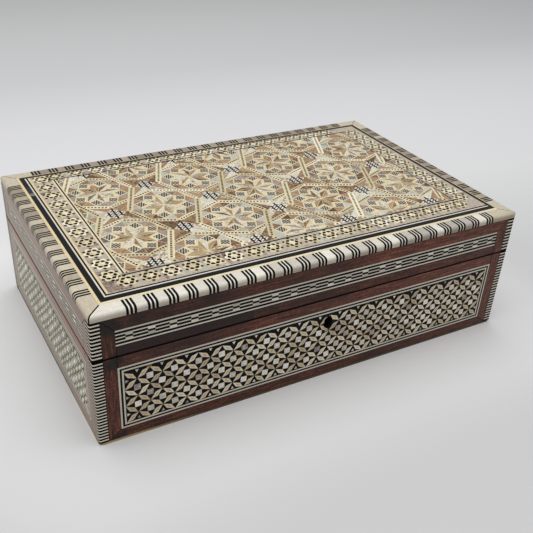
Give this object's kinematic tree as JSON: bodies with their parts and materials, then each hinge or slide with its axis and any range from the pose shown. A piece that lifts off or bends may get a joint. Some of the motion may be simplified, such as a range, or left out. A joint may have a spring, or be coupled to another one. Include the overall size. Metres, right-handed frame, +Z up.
{
  "type": "marquetry box",
  "caption": "Low rectangular wooden box with a hinged lid, star marquetry on top, mosaic sides, striped corners and bone edging.",
  "frame": {"origin": "middle of the underside", "axes": "+X along the front from left to right, +Y towards the hinged back, +Z up"},
  "size_m": [0.25, 0.1631, 0.075],
  "materials": {
    "mahogany": "lacquered",
    "base_wood": "plain",
    "side_mosaic": "lacquered",
    "stringing": "lacquered",
    "striped_edging": "bone and black stripes, lacquered",
    "star_marquetry": "pearl and wood inlay, lacquered",
    "rosette_marquetry": "pearl and wood inlay, lacquered",
    "bone": "polished bone",
    "brass": "satin"
  },
  "bodies": {
    "box": {"base_board": "base_wood", "body_front_board": "mahogany", "body_front_panel": "side_mosaic", "body_back_board": "mahogany", "body_back_panel": "side_mosaic", "body_left_board": "mahogany", "body_left_panel": "side_mosaic", "body_right_board": "mahogany", "body_right_panel": "side_mosaic", "body_corner_1": "striped_edging", "body_corner_2": "striped_edging", "body_corner_3": "striped_edging", "body_corner_4": "striped_edging", "lock_case": "brass", "hinge_left_lower": "brass", "hinge_right_lower": "brass"},
    "lid": {"lid_front_board": "mahogany", "lid_front_strip": "stringing", "lid_back_board": "mahogany", "lid_back_strip": "stringing", "lid_left_board": "mahogany", "lid_left_strip": "stringing", "lid_right_board": "mahogany", "lid_right_strip": "stringing", "lid_corner_1": "striped_edging", "lid_corner_2": "striped_edging", "lid_corner_3": "striped_edging", "lid_corner_4": "striped_edging", "lid_top_board": "mahogany", "top_field": "star_marquetry", "top_band_front": "rosette_marquetry", "bone_edge_front": "bone", "top_band_back": "rosette_marquetry", "bone_edge_back": "bone", "top_band_left": "rosette_marquetry", "bone_edge_left": "bone", "top_band_right": "rosette_marquetry", "bone_edge_right": "bone", "lock_catch": "brass", "hinge_left_upper": "brass", "hinge_right_upper": "brass"}
  },
  "joints": [
    {"name": "lid_hinge", "type": "hinge", "parent": "box", "child": "lid", "pos_m": [0, 0.0816, 0.05035], "axis": [-1, 0, 0], "range_deg": [0, 100]}
  ]
}
